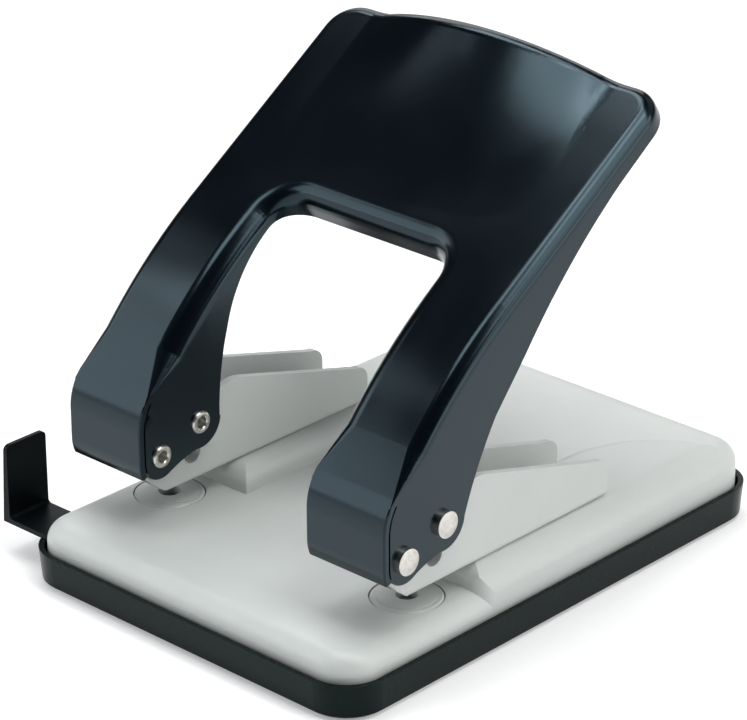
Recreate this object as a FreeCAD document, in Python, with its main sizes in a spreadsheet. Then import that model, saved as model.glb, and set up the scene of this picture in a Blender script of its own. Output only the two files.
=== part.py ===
"""Manual two-hole punch for a desk, as a parametric FreeCAD document.

Millimetres, +Z up, +Y to the back, +X to the right.  The row origin is the
centre of the tray's outline on the surface that the feet stand on.  Every
sub-part is modelled from the punch axis line (y = 0) and the tray's underside
(z = 0), and its Placement then carries it to the row frame.
"""
import FreeCAD
import Part
import Sketcher

import os

DIMENSIONS = [
    # whole machine
    ("hole_spacing", 80.0, "distance between the two punched holes"),
    ("bed_front", 36.4, "tray front edge to the line of the punches"),
    ("stop_depth", 12.0, "line of the punches to the paper stop"),
    ("throat", 6.2, "paper gap between bed and brackets"),
    ("stroke_angle", 40.0, "travel of the handle"),
    ("run_gap", 0.08, "radial clearance of a turning fit"),
    # chip tray and feet
    ("tray_width", 111.4, "outer width at the rim"),
    ("tray_depth", 152.8, "outer depth at the rim"),
    ("tray_height", 8.6, "underside to rim"),
    ("tray_corner", 11.6, "outer corner radius"),
    ("tray_wall", 1.4, "rim thickness"),
    ("tray_floor", 1.6, "floor thickness"),
    ("tray_inset", 0.7, "how far the walls lean in at the bottom"),
    ("tray_chamfer", 0.5, "bottom edge chamfer"),
    ("foot_radius", 6.0, "rubber foot"),
    ("foot_height", 1.4, "rubber foot, whole height"),
    ("foot_proud", 0.6, "how far a foot stands out of the tray"),
    ("foot_inset", 17.0, "foot centre from the tray edges"),
    ("foot_gap", 0.2, "gap round a foot in its pocket"),
    # pressed steel cover
    ("cover_gap", 0.8, "groove between rim and cover"),
    ("sheet_thick", 1.2, "cover sheet"),
    ("bed_height", 14.8, "tray underside to paper bed"),
    ("bed_edge", 5.0, "edge radius of the bed"),
    ("rear_rise", 4.4, "how far the cover rises towards the back"),
    ("deck_edge", 7.0, "outer edge radius of the raised decks"),
    ("deck_inner", 15.0, "bracket centre to the inner foot of its deck"),
    ("deck_bevel", 4.4, "edge radius along the inner side of a deck"),
    ("deck_nose", 4.2, "edge radius over the paper stop"),
    ("deck_corner", 4.0, "plan radius of the deck's front outer corner"),
    ("deck_straight", 74.0, "where the inner side starts to sweep outwards"),
    ("deck_sweep", 30.0, "depth of the swept part"),
    # dies
    ("die_radius", 8.8, "die boss"),
    ("die_gap", 0.3, "groove between die and cover"),
    ("die_proud", 0.45, "die face above the bed"),
    ("die_step", 0.25, "height of the raised centre"),
    ("die_ring", 1.6, "width of the outer ring"),
    ("die_flange", 2.4, "flange under the cover, beyond the boss"),
    ("die_flange_thick", 1.6, "flange thickness"),
    ("die_flat", 8.42, "die centre to the flat outside of its flange"),
    # punches
    ("pin_radius", 2.75, "punched hole radius"),
    ("die_clearance", 0.05, "punch to die, radial"),
    ("tip_lift", 0.2, "punch tip inside the bush at rest"),
    ("tip_notch", 1.1, "depth of the ground notch"),
    ("head_radius", 4.5, "punch head"),
    ("head_below", 3.0, "drive pin centre to underside of head"),
    ("head_above", 3.7, "drive pin centre to top of head"),
    ("head_chamfer", 0.7, "top edge of the head"),
    ("slot_play", 0.15, "clearance of the drive pin in the head, each side"),
    # pivots
    ("fulcrum_y", -14.0, "pivot of the handle"),
    ("fulcrum_z", 33.8, "pivot of the handle"),
    ("drive_arm", 14.0, "pivot to drive pin"),
    ("drive_angle", 19.0, "drive pin above the pivot at rest"),
    ("rivet_radius", 2.1, "shank of the pivot and drive rivets"),
    ("rivet_head", 3.3, "head radius"),
    ("rivet_dome", 1.8, "head height"),
    ("rivet_cap", 0.5, "height of the domed part of the head"),
    ("rivet_roll", 2.9, "radius of the rolled end"),
    ("rivet_roll_height", 1.0, "height of the rolled end"),
    ("rivet_bore", 1.5, "hollow end of a rivet"),
    ("rivet_bore_depth", 3.4, "depth of the hollow end"),
    ("washer_radius", 4.6, "nylon washer"),
    ("washer_play", 0.1, "side play of a washer"),
    ("sleeve_wall", 1.4, "spacer sleeve between the bracket walls"),
    # brackets
    ("bracket_width", 18.0, "outer width"),
    ("bracket_wall", 2.0, "sheet of the bracket"),
    ("bracket_bend", 1.6, "outer bend radius"),
    ("bracket_rear", 62.3, "punch line to rear end"),
    ("bracket_rear_height", 10.6, "height of the rear end"),
    ("bracket_rear_round", 4.0, "rear top corner radius"),
    ("bracket_peak_y", 15.0, "highest point of the wall"),
    ("bracket_peak_height", 22.8, "highest point above the deck"),
    ("bracket_brow_y", -10.5, "front end of the upper edge"),
    ("bracket_brow_height", 18.6, "front end of the upper edge above the deck"),
    ("bracket_nose", 4.6, "material in front of the pivot"),
    ("bracket_floor_front", -8.7, "front end of the floor"),
    ("base_rivet_radius", 2.0, "shank of the bracket rivets"),
    ("base_rivet_head", 3.6, "head radius of the bracket rivets"),
    ("base_rivet_height", 1.5, "head height of the bracket rivets"),
    ("base_rivet_front", 25.0, "punch line to the front bracket rivet"),
    ("base_rivet_pitch", 25.0, "distance between the bracket rivets"),
    # bushes and springs
    ("bush_radius", 5.0, "guide bush in the bracket floor"),
    ("bush_collar", 3.7, "collar inside the spring"),
    ("bush_collar_height", 2.0, "collar above the floor"),
    ("wire_radius", 0.4, "spring wire"),
    ("spring_radius", 4.35, "mean radius of the spring"),
    ("spring_turns", 3.4, "working turns"),
    # handle
    ("leg_width", 24.6, "outer width of a leg"),
    ("handle_thick", 1.5, "handle sheet"),
    ("knee_y", 3.7, "where the lines of leg and face meet"),
    ("knee_z", 74.9, "where the lines of leg and face meet"),
    ("knee_tangent", 20.0, "knee to the ends of its bend"),
    ("face_angle", 33.3, "slope of the face"),
    ("leg_angle", 49.0, "slope of the legs"),
    ("face_length", 86.9, "knee to the top edge"),
    ("leg_reach", 62.0, "knee to the far end of the leg line"),
    ("handle_corner", 9.0, "top corner radius in plan"),
    ("handle_bend", 3.4, "bend radius between face and flanges"),
    ("window_top", 29.4, "knee to the top of the window"),
    ("window_corner", 8.0, "corner radius of the window"),
    ("window_bend", 5.0, "rolled edge of the window"),
    ("window_flange", 8.5, "depth of the flange over the window"),
    ("crown_height", 8.0, "rise of the face at the top edge"),
    ("crown_margin", 2.8, "flat part between the crown and the round corners"),
    ("crown_blend", 18.0, "hollow radius at each side of the crown"),
    ("crown_start", 33.0, "knee to where the crown starts"),
    ("crown_seed", 0.06, "rise of the crown's section where it starts"),
    ("crown_sink", 0.04, "dip of the crown's sections under the face"),
    ("top_flange", 6.0, "depth of the flange at the top edge"),
    ("lobe_front", 6.0, "flange radius round the pivot"),
    ("lobe_rear", 7.1, "flange radius round the drive pin"),
    ("slit_z", 48.6, "top of the slit between tongue and flange"),
    ("slit_gap", 0.5, "width of the slit behind the tongue"),
    ("tongue_y", -20.9, "front of the straight part of the tongue"),
    ("tongue_bend", 14.0, "radius of the bend from leg to tongue, at the front"),
    ("tongue_curl_z", 33.3, "start of the curl at the lower end"),
    ("tongue_curl", 10.0, "radius of the curl, at the front"),
    ("tongue_turn", 24.0, "angle turned by the curl"),
    ("tongue_edge", 0.5, "rounding of the tongue's side edges"),
    ("leg_edge", 0.5, "edge radius of the leg where the tongue starts"),
    ("calf_y", 17.0, "free edge of the outer flange, end of the lower curve"),
    ("calf_z", 59.5, "free edge of the outer flange, end of the lower curve"),
    ("waist_y", 27.0, "free edge of the outer flange, start of the upper curve"),
    ("waist_z", 71.3, "free edge of the outer flange, start of the upper curve"),
    ("shoulder_y", 60.0, "free edge of the outer flange, end of the upper curve"),
    ("shoulder_z", 104.0, "free edge of the outer flange, end of the upper curve"),
    ("inner_calf_y", 9.6, "free edge of the inner flange, middle"),
    ("inner_calf_z", 61.0, "free edge of the inner flange, middle"),
    ("inner_top_y", 23.5, "free edge of the inner flange, top"),
    ("inner_top_z", 81.2, "free edge of the inner flange, top"),
    # paper guide
    ("guide_front", -29.3, "front edge of the guide bar"),
    ("guide_width", 13.0, "width of the guide bar"),
    ("guide_z", 7.7, "underside of the guide bar"),
    ("guide_thick", 1.3, "thickness of the guide bar"),
    ("guide_tab", 67.0, "centre of the machine to the face of the upright tab"),
    ("guide_tab_top", 28.9, "top of the upright tab"),
    ("guide_tab_root", 2.3, "tab thickness at the bar"),
    ("guide_tab_tip", 1.1, "tab thickness at the top"),
    ("guide_end", 38.0, "centre of the machine to the hidden end of the bar"),
    ("guide_travel", 70.0, "how far the guide pulls out"),
    ("guide_play", 0.3, "clearance round the guide bar in rim and cover"),
    ("guide_fit", 0.08, "clearance of the guide bar in its channel"),
    ("channel_wall", 1.3, "wall of the guide channel"),
    ("channel_slot", 6.0, "open slot under the guide channel"),
    ("channel_left", 44.0, "left end of the channel"),
    ("channel_right", 12.0, "right end of the channel"),
    ("leaf_width", 6.0, "leaf spring on the guide bar"),
    ("leaf_half", 14.0, "half length of the leaf spring"),
    ("leaf_thick", 0.4, "leaf spring sheet"),
]

DOC = FreeCAD.newDocument("hole_punch")
SHEET = DOC.addObject("Spreadsheet::Sheet", "Dims")


def fill_sheet():
    """Write each driving dimension in a cell of its own, with its alias."""
    for row, (alias, number, note) in enumerate(DIMENSIONS, 1):
        SHEET.set(f"A{row}", alias)
        SHEET.set(f"B{row}", str(number))
        SHEET.setAlias(f"B{row}", alias)
        SHEET.set(f"C{row}", note)
    DOC.recompute()


def dim(text):
    """Expression for a formula that names sheet aliases as words."""
    names = [alias for alias, _, _ in DIMENSIONS]
    words = "".join(c if c.isalnum() or c == "_" else " " for c in text).split()
    out = text
    for word in sorted(set(words), key=len, reverse=True):
        if word in names:
            out = replace_word(out, word, "Dims." + word)
    return out


def replace_word(text, word, new):
    """Replace word in text where it stands alone."""
    out, at = "", 0
    while at < len(text):
        end = at + len(word)
        before = text[at - 1] if at else " "
        after = text[end] if end < len(text) else " "
        alone = not (before.isalnum() or before in "_.") and not (after.isalnum() or after == "_")
        if text[at:end] == word and alone:
            out += new
            at = end
        else:
            out += text[at]
            at += 1
    return out


def number(text):
    """Value of a formula."""
    return float(FreeCAD.Units.Quantity(SHEET.evalExpression(dim(text))).Value)


# ---- formulas that several pieces share ------------------------------------
PUNCH_Y = "(bed_front - tray_depth / 2)"
DECK = "(bed_height + throat)"
COVER_HALF = "(tray_width / 2 - tray_wall - cover_gap)"
COVER_FRONT = "(tray_wall + cover_gap - bed_front)"
COVER_REAR = "(tray_depth - bed_front - tray_wall - cover_gap)"
COVER_CORNER = "(tray_corner - tray_wall - cover_gap)"
LEG_X = "(hole_spacing / 2)"
DRIVE_Y = "(fulcrum_y + drive_arm * cos(drive_angle))"
DRIVE_Z = "(fulcrum_z + drive_arm * sin(drive_angle))"
STROKE = "(drive_arm * (sin(drive_angle) - sin(drive_angle - stroke_angle)))"
SWAY = "(drive_arm * (1 - cos(stroke_angle - drive_angle)))"
SLOT_Y = f"(fulcrum_y + drive_arm - {SWAY} / 2)"
FLANGE_X = "(leg_width / 2)"
WINDOW_HALF = "(hole_spacing / 2 - leg_width / 2)"
HANDLE_HALF = "(hole_spacing / 2 + leg_width / 2)"
CROWN_HALF = f"({HANDLE_HALF} - handle_corner - crown_margin)"
CROWN_STEPS = 4


# ---- sketch and feature helpers ----------------------------------------------
def vec(x, y, z=0.0):
    return FreeCAD.Vector(x, y, z)


def fix_point(sketch, geo, pos, x, y):
    """Hold one sketch point at the coordinates that two formulas give."""
    for kind, axis, text in (("DistanceX", -2, x), ("DistanceY", -1, y)):
        if text.strip() in ("0", "0.0"):
            sketch.addConstraint(Sketcher.Constraint("PointOnObject", geo, pos, axis))
            continue
        index = sketch.addConstraint(Sketcher.Constraint(kind, -1, 1, geo, pos, number(text)))
        sketch.setExpression(f"Constraints[{index}]", dim(text))


def nearest_end(sketch, geo, point):
    """Which end of a sketch edge, 1 or 2, lies at the point."""
    first = sketch.getPoint(geo, 1).distanceToPoint(point)
    second = sketch.getPoint(geo, 2).distanceToPoint(point)
    return 1 if first < second else 2


def draw(sketch, start, steps):
    """Closed outline from start through steps: (x, y) lines or (mx, my, x, y) arcs."""
    here = vec(number(start[0]), number(start[1]))
    first = here
    ends = []
    for step in steps:
        there = vec(number(step[-2]), number(step[-1]))
        if len(step) == 2:
            geo = sketch.addGeometry(Part.LineSegment(here, there), False)
        else:
            middle = vec(number(step[0]), number(step[1]))
            geo = sketch.addGeometry(Part.Arc(here, middle, there), False)
        ends.append((geo, nearest_end(sketch, geo, here), nearest_end(sketch, geo, there), step))
        here = there
    if here.distanceToPoint(first) > 1e-6:
        raise ValueError("outline is not closed: " + sketch.Label)
    for (geo, _, tail, _), (after, head, _, _) in zip(ends, ends[1:] + ends[:1]):
        sketch.addConstraint(Sketcher.Constraint("Coincident", geo, tail, after, head))
    for geo, _, tail, step in ends:
        fix_point(sketch, geo, tail, step[-2], step[-1])
        if len(step) == 4:
            mark = sketch.addGeometry(Part.Point(vec(number(step[0]), number(step[1]))), True)
            fix_point(sketch, mark, 1, step[0], step[1])
            sketch.addConstraint(Sketcher.Constraint("PointOnObject", mark, 1, geo))


def circle(sketch, x, y, radius):
    """Circle held by its centre and radius."""
    ring = Part.Circle(vec(number(x), number(y)), vec(0, 0, 1), number(radius))
    geo = sketch.addGeometry(ring, False)
    fix_point(sketch, geo, 3, x, y)
    index = sketch.addConstraint(Sketcher.Constraint("Radius", geo, number(radius)))
    sketch.setExpression(f"Constraints[{index}]", dim(radius))


def rounded_box(x_low, y_low, x_high, y_high, radius):
    """Start and steps of a rectangle with round corners."""
    nick = f"({radius}) * (1 - cos(45))"
    start = (f"{x_low} + {radius}", y_low)
    steps = [
        (f"{x_high} - {radius}", y_low),
        (f"{x_high} - {nick}", f"{y_low} + {nick}", x_high, f"{y_low} + {radius}"),
        (x_high, f"{y_high} - {radius}"),
        (f"{x_high} - {nick}", f"{y_high} - {nick}", f"{x_high} - {radius}", y_high),
        (f"{x_low} + {radius}", y_high),
        (f"{x_low} + {nick}", f"{y_high} - {nick}", x_low, f"{y_high} - {radius}"),
        (x_low, f"{y_low} + {radius}"),
        (f"{x_low} + {nick}", f"{y_low} + {nick}", f"{x_low} + {radius}", y_low),
    ]
    return start, steps


def box(x_low, y_low, x_high, y_high):
    """Start and steps of a plain rectangle."""
    return (x_low, y_low), [(x_high, y_low), (x_high, y_high), (x_low, y_high), (x_low, y_low)]


def new_body(label):
    body = DOC.addObject("PartDesign::Body", label)
    body.Label = label
    return body


def new_sketch(body, name, plane, offset=None):
    """Sketch on an origin plane of the body, moved along its normal by offset."""
    sketch = body.newObject("Sketcher::SketchObject", name)
    roles = {feature.Role: feature for feature in body.Origin.OriginFeatures}
    sketch.AttachmentSupport = (roles[plane + "_Plane"], [""])
    sketch.MapMode = "FlatFace"
    if offset is not None:
        sketch.setExpression("AttachmentOffset.Base.z", dim(offset))
    DOC.recompute()
    return sketch


def outline_sketch(body, name, plane, outline, offset=None):
    sketch = new_sketch(body, name, plane, offset)
    draw(sketch, *outline)
    return sketch


def pad(body, sketch, length, symmetric=False, backwards=False, taper=None):
    feature = body.newObject("PartDesign::Pad", sketch.Name + "_pad")
    feature.Profile = sketch
    feature.setExpression("Length", dim(length))
    if symmetric:
        feature.SideType = "Symmetric"
    feature.Reversed = backwards
    if taper is not None:
        feature.setExpression("TaperAngle", dim(taper))
    DOC.recompute()
    return feature


def pocket(body, sketch, length=None, symmetric=False, backwards=False):
    """Pocket that has to take something away."""
    before = body.Shape.Volume
    feature = body.newObject("PartDesign::Pocket", sketch.Name + "_pocket")
    feature.Profile = sketch
    if length is None:
        feature.Type = "ThroughAll"
    else:
        feature.setExpression("Length", dim(length))
    if symmetric:
        feature.SideType = "Symmetric"
    feature.Reversed = backwards
    DOC.recompute()
    if body.Shape.Volume > before - 1e-6:
        raise ValueError("pocket cuts nothing: " + sketch.Name)
    return feature


def revolve(body, sketch, axis):
    feature = body.newObject("PartDesign::Revolution", sketch.Name + "_turn")
    feature.Profile = sketch
    feature.ReferenceAxis = (sketch, [axis])
    feature.Angle = 360
    DOC.recompute()
    return feature


def dress(body, kind, edges, size):
    """Fillet or chamfer the named edges of the body's tip."""
    base = body.Tip
    feature = body.newObject("PartDesign::" + kind, body.Name + "_" + kind.lower())
    feature.Base = (base, edges)
    feature.setExpression("Radius" if kind == "Fillet" else "Size", dim(size))
    DOC.recompute()
    return feature


def edges_where(shape, test):
    """Names of the edges whose middle point and face normals pass a test."""
    names = []
    for index, edge in enumerate(shape.Edges, 1):
        middle = edge.valueAt((edge.FirstParameter + edge.LastParameter) / 2)
        normals = []
        for face in shape.ancestorsOfType(edge, Part.Face):
            u, v = face.Surface.parameter(middle)
            normals.append(face.normalAt(u, v))
        if len(normals) == 2 and test(middle, normals[0], normals[1]):
            names.append(f"Edge{index}")
    return names


def either(test):
    """Edge test that does not mind which face comes first."""
    return lambda middle, a, b: test(middle, a, b) or test(middle, b, a)


def place(piece, x="0", y=PUNCH_Y, z="foot_proud", half_turn=False):
    """Carry a finished piece from the modelling frame to the row frame."""
    if half_turn:
        piece.Placement = FreeCAD.Placement(vec(0, 0), FreeCAD.Rotation(vec(0, 0, 1), 180))
    for key, text in (("x", x), ("y", y), ("z", z)):
        piece.setExpression("Placement.Base." + key, dim(text))
    return piece


def combine(kind, label, pieces):
    """Boolean or compound of finished shapes."""
    feature = DOC.addObject("Part::" + kind, label)
    if kind == "Cut":
        feature.Base, feature.Tool = pieces
    elif kind == "Compound":
        feature.Links = pieces
    else:
        feature.Shapes = pieces
    feature.Label = label
    DOC.recompute()
    return feature


SIDES = (("left", "-" + LEG_X, True), ("right", LEG_X, False))


# ---- chip tray and feet --------------------------------------------------------
def tray_outline(inset):
    low_x, low_y = f"({inset} - tray_width / 2)", f"({inset} - bed_front)"
    high_x, high_y = f"(tray_width / 2 - {inset})", f"(tray_depth - bed_front - {inset})"
    return rounded_box(low_x, low_y, high_x, high_y, f"(tray_corner - {inset})")


def foot_centres():
    across = "(tray_width / 2 - foot_inset)"
    front = "(foot_inset - bed_front)"
    rear = "(tray_depth - bed_front - foot_inset)"
    return {
        "foot_front_left": ("-" + across, front),
        "foot_front_right": (across, front),
        "foot_rear_left": ("-" + across, rear),
        "foot_rear_right": (across, rear),
        "foot_centre": ("0", "(tray_depth / 2 - bed_front)"),
    }


def make_tray():
    """Open plastic tray that catches the chips; its rim stands round the cover."""
    body = new_body("chip_tray")
    rim = outline_sketch(body, "tray_rim", "XY", tray_outline("0"), "tray_height")
    pad(body, rim, "tray_height", backwards=True, taper="-atan(tray_inset / tray_height)")
    under = edges_where(body.Shape, lambda at, a, b: abs(at.z) < 1e-4)
    dress(body, "Chamfer", under, "tray_chamfer")
    well = outline_sketch(body, "tray_well", "XY", tray_outline("tray_wall"), "tray_height")
    pocket(body, well, "tray_height - tray_floor")
    notch = box(f"-tray_width", "guide_front - 2 * guide_play",
                "-tray_width / 4", "guide_front + guide_width + 2 * guide_play")
    pocket(body, outline_sketch(body, "tray_notch", "XY", notch, "tray_height"),
           "tray_height - guide_z + guide_play")
    seats = new_sketch(body, "tray_feet", "XY")
    for x, y in foot_centres().values():
        circle(seats, x, y, "foot_radius + foot_gap")
    pocket(body, seats, "foot_height - foot_proud", backwards=True)
    return place(body)


def make_foot(label, x, y):
    """Rubber foot with a rounded sole, glued in its pocket."""
    body = new_body(label)
    outline = (("0", "-foot_proud"), [
        ("foot_radius - 0.4", "-foot_proud"), ("foot_radius", "0.4 - foot_proud"),
        ("foot_radius", "foot_height - foot_proud"), ("0", "foot_height - foot_proud"),
        ("0", "-foot_proud")])
    revolve(body, outline_sketch(body, label + "_section", "XZ", outline), "V_Axis")
    return place(body, x, f"{PUNCH_Y} + {y}")


# ---- cover ---------------------------------------------------------------------
def cover_form(inset):
    """Main form of the cover, moved inwards by inset: bed and rising back."""
    body = new_body("cover_core" if inset != "0" else "cover_skin")
    low = f"({COVER_FRONT} + {inset})", f"({COVER_REAR} - {inset})"
    half = f"({COVER_HALF} - {inset})"
    outline = rounded_box("-" + half, low[0], half, low[1], f"({COVER_CORNER} - {inset})")
    floor = "tray_floor" if inset == "0" else "tray_floor - 1"
    top = f"(bed_height + rear_rise + 2)"
    pad(body, outline_sketch(body, body.Name + "_plan", "XY", outline, floor), f"{top} - {floor}")
    bed = f"(bed_height - {inset})"
    length = f"({COVER_REAR} - stop_depth)"
    middle_rise = f"(rear_rise * 0.25)"
    rear = f"({COVER_REAR} + 5)"
    above = ((f"{COVER_FRONT} - 5", bed), [
        ("stop_depth", bed),
        (f"stop_depth + {length} / 2", f"{bed} + {middle_rise}", COVER_REAR, f"{bed} + rear_rise"),
        (rear, f"{bed} + rear_rise"), (rear, f"{top} + 5"),
        (f"{COVER_FRONT} - 5", f"{top} + 5"), (f"{COVER_FRONT} - 5", bed)])
    pocket(body, outline_sketch(body, body.Name + "_top", "YZ", above), symmetric=True)
    rim = edges_where(body.Shape, either(lambda at, a, b: a.z > 0.9 and abs(b.z) < 0.01))
    dress(body, "Fillet", rim, f"bed_edge - {inset}")
    return body


def deck_form(side, inset):
    """Raised deck under one bracket, right side when side is positive."""
    body = new_body(f"deck_{'left' if side < 0 else 'right'}_{'skin' if inset == '0' else 'core'}")
    flip = "-" if side < 0 else ""
    foot = f"({LEG_X} - deck_inner + {inset})"
    half = f"({COVER_HALF} - {inset})"
    front = f"(stop_depth + {inset})"
    end = f"(deck_straight + deck_sweep - {inset})"
    corner = f"(deck_corner - {inset})"
    nick = f"{corner} * (1 - cos(45))"
    outer_end = f"({COVER_HALF} - deck_edge)"
    plan = ((flip + foot, front), [
        (f"{flip}({half} - {corner})", front),
        (f"{flip}({half} - {nick})", f"{front} + {nick}", flip + half, f"{front} + {corner}"),
        (flip + half, end), (flip + outer_end, end),
        (f"{flip}({foot} + ({outer_end} - {foot}) * 0.3)", "deck_straight + deck_sweep * 0.62",
         flip + foot, "deck_straight"),
        (flip + foot, front)])
    floor = "bed_height / 2"
    sketch = outline_sketch(body, body.Name + "_plan", "XY", plan, floor)
    pad(body, sketch, f"{DECK} - {inset} - {floor}")
    top = number(f"{DECK} - {inset}")
    inner = either(lambda at, a, b: a.z > 0.9 and abs(b.z) < 0.01 and at.z > top - 1e-3
                   and b.x * side < -0.1)
    dress(body, "Fillet", edges_where(body.Shape, inner), f"deck_bevel - {inset}")
    edge_round(body, "_side", "XZ", flip, half, f"({DECK} - {inset})", f"(deck_edge - {inset})")
    edge_round(body, "_nose", "YZ", "-", f"-{front}", f"({DECK} - {inset})",
               f"(deck_nose - {inset})")
    return body


def edge_round(body, name, plane, flip, face, top, radius):
    """Round the upper edge over one vertical face with a cut along that edge."""
    nick = f"{radius} * (1 - cos(45))"
    corner = ((f"{flip}({face} - {radius})", top), [
        (f"{flip}({face} - {nick})", f"{top} - {nick}", f"{flip}{face}", f"{top} - {radius}"),
        (f"{flip}({face} + 5)", f"{top} - {radius}"), (f"{flip}({face} + 5)", f"{top} + 5"),
        (f"{flip}({face} - {radius})", f"{top} + 5"), (f"{flip}({face} - {radius})", top)])
    sketch = outline_sketch(body, body.Name + name, plane, corner)
    pocket(body, sketch, symmetric=True)


def make_cover():
    """Pressed steel cover: paper bed in front, decks with the paper stops behind."""
    skins = [cover_form("0"), deck_form(-1, "0"), deck_form(1, "0")]
    cores = [cover_form("sheet_thick"), deck_form(-1, "sheet_thick"), deck_form(1, "sheet_thick")]
    shell = combine("Cut", "cover_shell", [combine("MultiFuse", "cover_outside", skins),
                                           combine("MultiFuse", "cover_inside", cores)])
    holes = new_body("cover_holes")
    plan = new_sketch(holes, "cover_hole_plan", "XY", "tray_floor")
    for x in ("-" + LEG_X, LEG_X):
        circle(plan, x, "0", "die_radius + die_gap")
        for step in ("0", "base_rivet_pitch"):
            circle(plan, x, f"base_rivet_front + {step}", "base_rivet_radius")
    pad(holes, plan, f"{DECK} + 5")
    slot = new_body("cover_guide_slot")
    side = box("guide_front - 2 * guide_play", "tray_floor - 1",
               "guide_front + guide_width + 2 * guide_play", "guide_z + guide_thick + 2 * guide_play")
    pad(slot, outline_sketch(slot, "cover_guide_side", "YZ", side), "tray_width", backwards=True)
    cover = combine("Cut", "base_cover", [combine("Cut", "cover_drilled", [shell, holes]), slot])
    return place(cover)


# ---- dies, bushes and punches --------------------------------------------------
def make_die(side, x):
    """Hardened die: a boss in the cover's hole, a flange under the sheet.

    The flange is cut straight on the outside, clear of the cover's bend.
    """
    label = "die_" + side
    body = new_body(label)
    face = "(bed_height + die_proud)"
    under = "(bed_height - sheet_thick)"
    low = f"({under} - die_flange_thick)"
    bore = "(pin_radius + die_clearance)"
    ring = "(die_radius - die_ring)"
    outline = ((bore, face), [
        (ring, face), (ring, f"{face} - die_step"), ("die_radius - 0.5", f"{face} - die_step"),
        ("die_radius", f"{face} - die_step - 0.4"), ("die_radius", under),
        ("die_radius + die_flange", under), ("die_radius + die_flange", low),
        (f"{bore} + 0.5", low), (f"{bore} + 0.5", f"{face} - 2"), (bore, f"{face} - 2"),
        (bore, face)])
    revolve(body, outline_sketch(body, label + "_section", "XZ", outline), "V_Axis")
    flip = "-" if side == "left" else ""
    waste = box(f"{flip}die_flat", f"{low} - 1", f"{flip}(2 * die_radius)", under)
    pocket(body, outline_sketch(body, label + "_flat", "XZ", waste), symmetric=True)
    return place(body, x)


def make_bush(side, x):
    """Guide bush pressed into the bracket floor."""
    label = "guide_bush_" + side
    body = new_body(label)
    bore = "(pin_radius + run_gap)"
    floor = f"({DECK} + bracket_wall)"
    top = f"({floor} + bush_collar_height)"
    outline = ((bore, DECK), [
        ("bush_radius", DECK), ("bush_radius", floor), ("bush_collar", floor),
        ("bush_collar", top), (bore, top), (bore, DECK)])
    revolve(body, outline_sketch(body, label + "_section", "XZ", outline), "V_Axis")
    return place(body, x)


def make_punch(side, x):
    """Punch: ground shank below, head with the cross slot for the drive pin above."""
    label = "punch_pin_" + side
    body = new_body(label)
    tip, under = f"({DECK} + tip_lift)", f"({DRIVE_Z} - head_below)"
    top = f"({DRIVE_Z} + head_above)"
    outline = (("0", tip), [
        ("pin_radius", tip), ("pin_radius", under), ("head_radius", under),
        ("head_radius", f"{top} - head_chamfer"), ("head_radius - head_chamfer", top),
        ("0", top), ("0", tip)])
    revolve(body, outline_sketch(body, label + "_section", "XZ", outline), "V_Axis")
    reach = "(2 * pin_radius)"
    notch = ((f"-{reach}", f"{tip} - 1"), [
        (reach, f"{tip} - 1"), (reach, tip), ("pin_radius", tip), ("0", f"{tip} + tip_notch"),
        ("-pin_radius", tip), (f"-{reach}", tip), (f"-{reach}", f"{tip} - 1")])
    pocket(body, outline_sketch(body, label + "_notch", "YZ", notch), symmetric=True)
    half = f"({SWAY} / 2 + rivet_radius + slot_play)"
    tall = "(rivet_radius + slot_play)"
    window = rounded_box(f"({SLOT_Y} - {half})", f"({DRIVE_Z} - {tall})",
                         f"({SLOT_Y} + {half})", f"({DRIVE_Z} + {tall})", f"({tall} * 0.9)")
    pocket(body, outline_sketch(body, label + "_slot", "YZ", window), symmetric=True)
    return place(body, x)


def make_spring(side, x):
    """Return spring round the punch, between bracket floor and punch head."""
    label = "return_spring_" + side
    low = f"({DECK} + bracket_wall + wire_radius)"
    high = f"({DRIVE_Z} - head_below - wire_radius)"
    coil = DOC.addObject("Part::Helix", label + "_coil")
    coil.setExpression("Radius", dim("spring_radius"))
    coil.setExpression("Height", dim(f"{high} - {low}"))
    coil.setExpression("Pitch", dim(f"({high} - {low}) / spring_turns"))
    wire = DOC.addObject("Part::RegularPolygon", label + "_wire")
    wire.Polygon = 8
    wire.setExpression("Circumradius", dim("wire_radius"))
    wire.setExpression("Placement.Base.x", dim("spring_radius"))
    wire.Placement.Rotation = FreeCAD.Rotation(vec(1, 0, 0), 90)
    sweep = DOC.addObject("Part::Sweep", label)
    sweep.Sections = [wire]
    sweep.Spine = (coil, ["Edge1"])
    sweep.Solid = True
    sweep.Frenet = True
    sweep.Label = label
    DOC.recompute()
    return place(sweep, x, z=f"foot_proud + {low}")


# ---- pivots ------------------------------------------------------------------------
def dome(edge, radius, top):
    """Middle of the arc of a round cap, as height and radius, and its top."""
    high = f"({top} - {edge})"
    ball = f"(({high} * {high} + {radius} * {radius}) / (2 * {high}))"
    half = f"(asin({radius} / {ball}) / 2)"
    return f"({top} - {ball} * (1 - cos({half})))", f"({ball} * sin({half}))", top


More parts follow.
